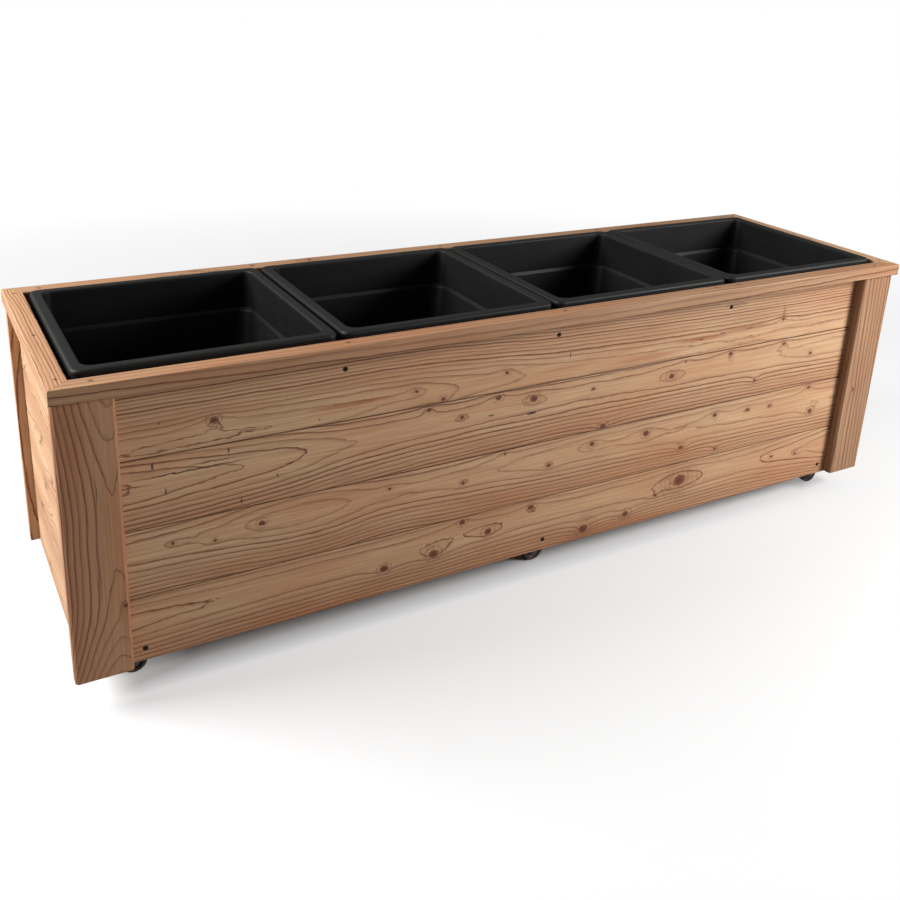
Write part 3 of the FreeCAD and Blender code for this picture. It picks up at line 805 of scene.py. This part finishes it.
cap = {
    "width": 24 * mm,
    "topRound": 2.0 * mm,
    "roundSteps": 4,
    "edgeBevel": 0.35 * mm,
    "woods": {
        "front": {"seed": 31.0, "ring": 6.4, "red": 0.32, "shade": 0.82, "knots": [(905, 14, 2.0)],
                  "pith": [(0, -44, 20), (0.5, -48, 24), (1, -45, 19)]},
        "back": {"seed": 32.4, "ring": 4.4, "red": 0.10, "shade": 0.66, "knots": [(420, 12, 2.6)],
                 "pith": [(0, 12, 22), (0.5, 10, 26), (1, 12, 22)]},
        "left": {"seed": 33.2, "ring": 2.9, "red": 0.06,
                 "pith": [(0, -46, 18), (0.5, -44, 20), (1, -48, 21)]},
        "right": {"seed": 34.6, "ring": 3.5, "pith": [(0, -6, 20), (0.5, -8, 22), (1, -5, 20)]},
    },
}


def capOutline(outer, inner, bottom, top):
    # section from the outer edge to the inner one, with rounded top edges
    way = 1 if inner > outer else -1
    radius, steps = cap["topRound"], cap["roundSteps"]
    points = [(outer, bottom)]
    for centre, start, end in ((outer + way * radius, 180, 90), (inner - way * radius, 90, 0)):
        for step in range(steps + 1):
            angle = math.radians(start + (end - start) * step / steps)
            points.append((centre + way * radius * math.cos(angle),
                           top - radius + radius * math.sin(angle)))
    points.append((inner, bottom))
    return points


for side, wood in cap["woods"].items():
    name = "cap_" + side
    low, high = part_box(name)
    sign = -1 if side in ("front", "left") else 1
    alongX = side in ("front", "back")
    outer = (low if sign < 0 else high)[1 if alongX else 0]
    points, run = laid(low, high, capOutline(outer, outer - sign * cap["width"], low.z, high.z), alongX)
    order = ("x", "y", "z") if alongX else ("y", "x", "z")
    inward = Vector((0, -sign, 0) if alongX else (-sign, 0, 0))
    half = run.length / 2
    nailed = brads["longShares" if alongX else "shortShares"]
    row = brads["fromEdge"] if sign < 0 else cap["width"] - brads["fromEdge"]
    stained = [((share + 1) * half / mm, row / mm) + brads["stain"] for share in nailed]
    mitre = {"Inward": inward, "Edge": -sign * outer, "Mitre": 1.0}
    wood = dict(wood, marks=stained)
    timber(name, points, run, wood, order, low, "larch_cap", cap["edgeBevel"], mitre)
print("trims and cap frame fitted")


# Inner timber

inner = {
    "ease": 1.5 * mm,
    "edgeBevel": 0.4 * mm,
    "stripTip": 3.0 * mm,
    "wood": {"seed": 51.0, "ring": 4.4, "red": 0.0, "pith": [(0, 30, 24), (0.5, 34, 30), (1, 28, 26)]},
    "knots": [(0.31, 22, 3.2), (0.72, 40, 2.6)],   # share along the piece, height and radius
}


def squareOutline(lowA, highA, lowB, highB, ease):
    return [(lowA + ease, lowB), (highA - ease, lowB), (highA, lowB + ease), (highA, highB - ease),
            (highA - ease, highB), (lowA + ease, highB), (lowA, highB - ease), (lowA, lowB + ease)]


def innerTimber(name, points, run, order, low, seed):
    length = run.length / mm
    knots = [(length * share, height, radius) for share, height, radius in inner["knots"]]
    wood = dict(inner["wood"], seed=seed, knots=knots)
    timber(name, points, run, wood, order, low, "inner_timber", inner["edgeBevel"])


crossing = ["divider_rail_" + number for number in "123"] + ["bearer_" + column for column in columns]
for number, name in enumerate(crossing):
    low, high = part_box(name)
    points, run = laid(low, high, squareOutline(low.x, high.x, low.z, high.z, inner["ease"]), False)
    order = ("y", "z", "x") if "rail" in name else ("y", "x", "z")
    innerTimber(name, points, run, order, low, 52.3 + 1.7 * number)
for number in (1, 2, 3):
    name = "floor_slat_" + str(number)
    low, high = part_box(name)
    points, run = laid(low, high, squareOutline(low.y, high.y, low.z, high.z, inner["ease"]), True)
    innerTimber(name, points, run, ("x", "y", "z"), low, 70.1 + 2.3 * number)
for number, (corner, (sideX, sideY)) in enumerate(corners.items()):
    name = "corner_strip_" + corner
    low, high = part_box(name)
    leg, tip = high.x - low.x, inner["stripTip"]
    x0 = high.x if sideX > 0 else low.x
    y0 = high.y if sideY > 0 else low.y
    outline = [(0, 0), (leg, 0), (leg, tip), (tip, leg), (0, leg)]
    run = Vector((0, 0, high.z - low.z))
    points = [Vector((x0 - sideX * a, y0 - sideY * b, low.z)) for a, b in outline]
    innerTimber(name, points, run, ("z", "x", "y"), low, 80.7 + 1.9 * number)
print("inner timber in place")


# Pots: rounded squares from the foot over the rim to the floor

pot = {
    "wall": 2.5 * mm,
    "rimWidth": 13.5 * mm,
    "skirt": 21 * mm,
    "edgeRadius": 4.0 * mm,
    "lipRadius": 2.5 * mm,
    "softness": 1.0 * mm,   # of the corners under the rim
    "skirtEase": 0.6 * mm,
    "rimCorner": 12 * mm,
    "mouthCorner": 13 * mm,
    "wallCorner": 20 * mm,
    "bandDepth": 54 * mm,
    "bandDraft": 1.0 * mm,
    "ledgeWidth": 3.0 * mm,
    "ledgeHeight": 5.0 * mm,
    "ledgeEase": (0.6 * mm, 0.5 * mm),     # how far its inner edge is eased, in and down
    "ledgeFillet": (0.8 * mm, 0.9 * mm),   # width and half height of the hollow at its foot
    "taper": 20.5 * mm,
    "baseEdge": 3.0 * mm,
    "footRing": 16 * mm,
    "footKick": 4.0 * mm,
    "footCorner": 12 * mm,
    "leastCorner": 0.5 * mm,
    "drainRadius": 6.0 * mm,
    "drainOffset": 48 * mm,
    "cornerSteps": 10,
}


def facingOut(piece):
    shape = bmesh.new()
    shape.from_mesh(piece.data)
    bmesh.ops.recalc_face_normals(shape, faces=shape.faces)
    shape.to_mesh(piece.data)
    shape.free()


def gridFaces(rows, size, closed):
    # quads between rings of points, where each ring is closed
    return [[row * size + i, row * size + (i + 1) % size, (row + 1) % rows * size + (i + 1) % size,
             (row + 1) % rows * size + i]
            for row in range(rows if closed else rows - 1) for i in range(size)]


def turnPoints(half, z, radius, start, end, corner, steps):
    # an arc in the section, whose corner radius grows with its half width
    rings = []
    for step in range(steps + 1):
        angle = math.radians(start + (end - start) * step / steps)
        reach = radius * math.cos(angle)
        rings.append((half + reach, corner + reach, z + radius * math.sin(angle)))
    return rings


def potRings(rimHalf, bottom, top):
    wall, turn, draft = pot["wall"], pot["baseEdge"], pot["bandDraft"]
    mouth = rimHalf - pot["rimWidth"]
    body = mouth + wall
    skirtIn = rimHalf - wall
    ledge = top - pot["bandDepth"]
    bandLow = body - draft
    wallTop = bandLow - pot["ledgeWidth"]
    base = wallTop - pot["taper"]
    foot = base - turn
    footIn = foot - pot["footRing"]
    edge, lip, soft, brow = pot["edgeRadius"], pot["lipRadius"], pot["softness"], pot["skirtEase"]
    rimCorner, mouthCorner, wallCorner = pot["rimCorner"], pot["mouthCorner"], pot["wallCorner"]
    under = top - wall
    floor = bottom + pot["footKick"] + wall
    rings = [(footIn - pot["footKick"], pot["footCorner"] - pot["footKick"], bottom + pot["footKick"]),
             (footIn, pot["footCorner"], bottom)]
    rings += turnPoints(foot, bottom + turn, turn, -90, 0, wallCorner - turn, 4)
    skirtBottom = top - pot["skirt"]
    rings += [(wallTop, wallCorner, ledge - pot["ledgeHeight"]),
              (bandLow, mouthCorner + wall - draft, ledge),
              (body, mouthCorner + wall, under - soft),
              (body + soft, mouthCorner + wall + soft, under),
              (skirtIn - soft, rimCorner - wall - soft, under),
              (skirtIn, rimCorner - wall, under - soft),
              (skirtIn, rimCorner - wall, skirtBottom),
              (rimHalf - brow, rimCorner - brow, skirtBottom),
              (rimHalf, rimCorner, skirtBottom + brow)]
    rings += turnPoints(rimHalf - edge, top - edge, edge, 0, 90, rimCorner - edge, 6)
    rings += turnPoints(mouth + lip, top - lip, -lip, -90, 0, mouthCorner + lip, 5)
    # the ledge inside, a little rounded at its edge and its foot
    easeIn, easeDown = pot["ledgeEase"]
    hollow, halfHollow = pot["ledgeFillet"]
    ledgeFoot = ledge + wall - pot["ledgeHeight"]
    rings += [(mouth - draft, mouthCorner - draft, ledge + wall),
              (mouth - draft - easeIn, mouthCorner - 2 * easeIn, ledge + wall - easeDown),
              (wallTop - wall + hollow, wallCorner - wall, ledgeFoot + halfHollow),
              (wallTop - wall, wallCorner - wall, ledgeFoot - halfHollow)]
    rings += turnPoints(base - wall - turn, floor + turn, turn, 0, -90, wallCorner - wall - turn, 4)
    return rings


def ringPoints(centreX, half, corner, z):
    points = []
    flat = half - corner
    for turn, (signX, signY) in enumerate(((1, 1), (-1, 1), (-1, -1), (1, -1))):
        for step in range(pot["cornerSteps"] + 1):
            angle = math.radians(90 * turn + 90 * step / pot["cornerSteps"])
            points.append(Vector((centreX + signX * flat + corner * math.cos(angle),
                                  signY * flat + corner * math.sin(angle), z)))
    return points


def makePot(name):
    low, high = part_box(name)
    centreX = (low.x + high.x) / 2
    rings = potRings((high.x - low.x) / 2, low.z, high.z)
    size = 4 * (pot["cornerSteps"] + 1)
    points = []
    for half, corner, z in rings:
        points += ringPoints(centreX, half, max(corner, pot["leastCorner"]), z)
    faces = gridFaces(len(rings), size, False)
    faces.append(list(range(size))[::-1])
    faces.append([(len(rings) - 1) * size + i for i in range(size)])
    piece = meshObject(name, points, faces)
    facingOut(piece)
    shape = bmesh.new()
    floorZ = low.z + pot["footKick"] + pot["wall"] / 2
    for a in (-1, 1):
        for b in (-1, 1):
            at = Matrix.Translation((centreX + a * pot["drainOffset"], b * pot["drainOffset"], floorZ))
            bmesh.ops.create_cone(shape, cap_ends=True, segments=32, radius1=pot["drainRadius"],
                                  radius2=pot["drainRadius"], depth=4 * pot["wall"], matrix=at)
    drains = shapeObject("drainCutter", shape)
    cutAway(piece, drains, potPlastic)
    bpy.data.objects.remove(drains)
    smooth(piece, 50)
    setUp(piece, name, "pot_plastic", name)


for number in (1, 2, 3, 4):
    makePot("pot_" + str(number))
print("pots moulded")


# Castors

castor = {
    "wheelWidth": 14 * mm,
    "shoulder": 2.5 * mm,
    "shoulderSteps": 5,
    "ringDepth": 5.0 * mm,
    "web": 6.0 * mm,
    "hub": 6.0 * mm,
    "hubStand": 0.7 * mm,
    "bore": 2.58 * mm,
    "boreEase": 0.4 * mm,
    "ease": 0.5 * mm,
    "hubFoot": (0.2 * mm, 1.0 * mm, 0.9 * mm),    # its draft, and the width and height of its fillet
    "ringFoot": (0.3 * mm, 1.2 * mm, 0.8 * mm),
    "steps": 72,
    "forkBevel": 0.3 * mm,
    "plateBevel": 0.25 * mm,
    "plateThick": 2.0 * mm,
    "screwSpread": 12.5 * mm,
    "screwProud": 1.2 * mm,
}


def makeWheel(name):
    low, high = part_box(name)
    centre, radius = (low + high) / 2, (high.z - low.z) / 2
    half = castor["wheelWidth"] / 2
    ring, web, hub = radius - castor["ringDepth"], castor["web"] / 2, castor["hub"]
    stand, shoulder = half + castor["hubStand"], castor["shoulder"]
    bore, boreEase, ease = castor["bore"], castor["boreEase"], castor["ease"]
    hubDraft, hubWide, hubTall = castor["hubFoot"]
    ringDraft, ringWide, ringTall = castor["ringFoot"]
    side = [(bore, stand - boreEase), (bore + boreEase, stand),
            (hub - ease, stand), (hub, stand - ease), (hub + hubDraft, web + hubTall),
            (hub + hubWide, web), (ring - ringWide, web), (ring - ringDraft, web + ringTall),
            (ring, half - ease), (ring + ease, half)]
    for step in range(castor["shoulderSteps"] + 1):
        angle = math.radians(90 * step / castor["shoulderSteps"])
        side.append((radius - shoulder + shoulder * math.sin(angle),
                     half - shoulder + shoulder * math.cos(angle)))
    section = side + [(r, -w) for r, w in reversed(side)]
    points, steps = [], castor["steps"]
    for step in range(steps):
        angle = math.tau * step / steps
        for r, w in section:
            points.append(centre + Vector((r * math.cos(angle), w, r * math.sin(angle))))
    piece = meshObject(name, points, gridFaces(steps, len(section), True))
    facingOut(piece)
    paint(piece, wheelPlastic)
    smooth(piece, 40)
    setUp(piece, name, "wheel_plastic", name)


def dressedCopy(node, body, ease):
    # a CAD node's shape with its doubles merged and its edges softened
    piece = newObject(node + "_dressed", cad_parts[node].data.copy())
    shape = bmesh.new()
    shape.from_mesh(piece.data)
    bmesh.ops.remove_doubles(shape, verts=shape.verts, dist=0.002 * mm)
    bmesh.ops.dissolve_limit(shape, angle_limit=math.radians(1.0), verts=shape.verts, edges=shape.edges)
    shape.to_mesh(piece.data)
    shape.free()
    paint(piece, zincSteel)
    softenEdges(piece, ease, 32)
    bake(piece)
    smooth(piece, 40)
    setUp(piece, body, "castor_steel", node)


for place in castorNames:
    makeWheel("castor_wheel_" + place)
    dressedCopy("castor_fork_" + place, "castor_fork_" + place, castor["forkBevel"])
dressedCopy("castor_plates", "box", castor["plateBevel"])
dressedCopy("castor_kingpins", "box", castor["plateBevel"])
print("castors built")


# Screws, brads and pan heads

fasteners("board_screws", screwPlaces(screws["sunk"]), blackScrew, "screw_steel",
          (screws["headRadius"] / mm, 2.6, 1.8, 42, 0, 2.1, 1.5), "board_screws")


def bradPlaces():
    low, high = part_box("cap_front")
    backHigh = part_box("cap_back")[1]
    top = high.z - brads["sunk"]
    up = Vector((0, 0, 1))
    places = []
    for edge in (low.y + brads["fromEdge"], backHigh.y - brads["fromEdge"]):
        places += [(Vector((share * high.x, edge, top)), up) for share in brads["longShares"]]
    for edge in (low.x + brads["fromEdge"], high.x - brads["fromEdge"]):
        places += [(Vector((edge, share * backHigh.y, top)), up) for share in brads["shortShares"]]
    return places


fasteners("cap_brads", bradPlaces(), bradSteel, "screw_steel", (1.5, 0.9, 0.7, 22, 0, 0.35, 0.25))


def plateScrewPlaces():
    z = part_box("castor_plates")[1].z - castor["plateThick"] - castor["screwProud"]
    spots = [(middleOf("bearer_" + place.split("_")[1]).x, middleOf("castor_fork_" + place).y)
             for place in castorNames]
    spread = (-castor["screwSpread"], castor["screwSpread"])
    return [(Vector((x + a, y + b, z)), Vector((0, 0, -1)))
            for x, y in spots for a in spread for b in spread]


fasteners("plate_screws", plateScrewPlaces(), zincSteel, "castor_steel",
          (3.4, 1.2, 1.6, 16, 0.7, 1.7, 1.0))


def slatScrewPlaces():
    places = []
    for number in (1, 2, 3):
        low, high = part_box("floor_slat_" + str(number))
        z = high.z - screws["sunkInSlats"]
        places += [(Vector((middleOf("bearer_" + column).x, low.y + share * (high.y - low.y), z)),
                    Vector((0, 0, 1))) for column in columns for share in (0.25, 0.75)]
    return places


fasteners("slat_screws", slatScrewPlaces(), blackScrew, "screw_steel", (3.4, 2.2, 1.6, 26, 0, 1.9, 1.3))
bpy.data.objects.remove(mouthCutter)
print("fasteners driven")


# Floor, lamps and camera

studio = {
    "floorSize": 40.0,
    "floorGlow": 0.55,     # how much of the floor's white is its own, near the planter
    "floorWhite": 0.82,    # the floor as the camera sees it
    "floorBounce": 0.36,   # and as it lights the planter
    "footprint": (0.62, 0.165),   # half sizes of the floor below the box, which doesn't glow
    "shadowTo": 0.85,      # metres from the middle: the shadow is whole up to here
    "whiteFrom": 2.2,      # and the floor is plain white from here on
    "ambient": 0.06,
    "reflected": 0.12,     # how white the surroundings are in a reflection
}

softboxes = {
    "leftSoftbox": {"place": (-1.75, 0.45, 1.25), "target": (-0.3, 0, 0.25), "size": (0.9, 0.9),
                    "power": 65},
    "topSoftbox": {"place": (0.2, 0.4, 2.3), "target": (0, 0, 0.3), "size": (2.2, 1.4), "power": 4},
    "rightSoftbox": {"place": (1.25, -1.1, 0.9), "target": (0.4, 0, 0.2), "size": (0.6, 0.6),
                     "power": 32},
}


def backdropRay(tree):
    path = tree.nodes.new("ShaderNodeLightPath")
    dim = Wire(tree, path.outputs["Is Glossy Ray"]) * studio["reflected"]
    return dim.calc("MAXIMUM", path.outputs["Is Camera Ray"])


def makeFloor():
    side = studio["floorSize"] / 2
    points = [(-side, -side, 0), (side, -side, 0), (side, side, 0), (-side, side, 0)]
    floor = meshObject("floor", points, [[0, 1, 2, 3]])
    material, tree, shader = newMaterial("floorWhite")
    path = addNode(tree, "ShaderNodeLightPath")
    white = path * (studio["floorWhite"] - studio["floorBounce"]) + studio["floorBounce"]
    plug(tree, greyColour(tree, white), shader.inputs["Base Color"])
    shader.inputs["Roughness"].default_value = 0.9
    shader.inputs["Specular IOR Level"].default_value = 0.1
    glow = addNode(tree, "ShaderNodeEmission", {"Color": (1, 1, 1, 1), "Strength": 1.0})
    place = objectPlace(tree)
    reach = vectorCalc(tree, "LENGTH", place, out=1).fade(studio["whiteFrom"], studio["shadowTo"])
    # the glow sets in from 0.80 to 1.05 times the footprint
    beside = [axisOf(tree, place, axis).calc("ABSOLUTE") / half
              for axis, half in enumerate(studio["footprint"])]
    outside = beside[0].calc("MAXIMUM", beside[1]).fade(1.05, 0.80)
    share = (reach * (1.0 - studio["floorGlow"]) + studio["floorGlow"]) * outside
    seen = backdropRay(tree) * share
    mixed = addNode(tree, "ShaderNodeMixShader", {0: seen, 1: shader.outputs[0], 2: glow})
    plug(tree, mixed, tree.nodes["Material Output"].inputs["Surface"])
    floor.data.materials.append(material)


def makeWorld():
    world = bpy.data.worlds.new("studioWorld")
    bpy.context.scene.world = world
    world.use_nodes = True
    tree = world.node_tree
    background = tree.nodes["Background"]
    background.inputs["Color"].default_value = (1, 1, 1, 1)
    seen = backdropRay(tree)
    plug(tree, seen * (1.0 - studio["ambient"]) + studio["ambient"], background.inputs["Strength"])


def makeLamp(name, place, target, size, power):
    data = bpy.data.lights.new(name, "AREA")
    data.shape = "RECTANGLE"
    data.size, data.size_y = size
    data.energy = power
    lamp = newObject(name, data)
    lamp.location = place
    lamp.rotation_euler = (Vector(target) - Vector(place)).to_track_quat("-Z", "Y").to_euler()


makeFloor()
makeWorld()
for name, softbox in softboxes.items():
    makeLamp(name, **softbox)

view = {
    "place": (-757.3 * mm, -1181.0 * mm, 814.1 * mm),
    "yaw": 29.916,
    "pitch": 19.24,
    "roll": 2.507,
    "lens": 40.545,
    "sensor": 36.0,
    "clip": (0.05, 100.0),
    "shift": (0.0023, -0.1419),
}


def makeCamera():
    data = bpy.data.cameras.new("photoCamera")
    data.lens = view["lens"]
    data.sensor_width = view["sensor"]
    data.shift_x, data.shift_y = view["shift"]
    data.clip_start, data.clip_end = view["clip"]
    camera = newObject("photoCamera", data)
    turn = Matrix.Rotation(math.radians(-view["yaw"]), 4, "Z")
    tilt = Matrix.Rotation(math.radians(90 - view["pitch"]), 4, "X")
    roll = Matrix.Rotation(math.radians(view["roll"]), 4, "Z")
    camera.matrix_world = Matrix.Translation(view["place"]) @ turn @ tilt @ roll
    bpy.context.scene.camera = camera


makeCamera()
bpy.context.scene.view_settings.view_transform = "Standard"
print("studio set")
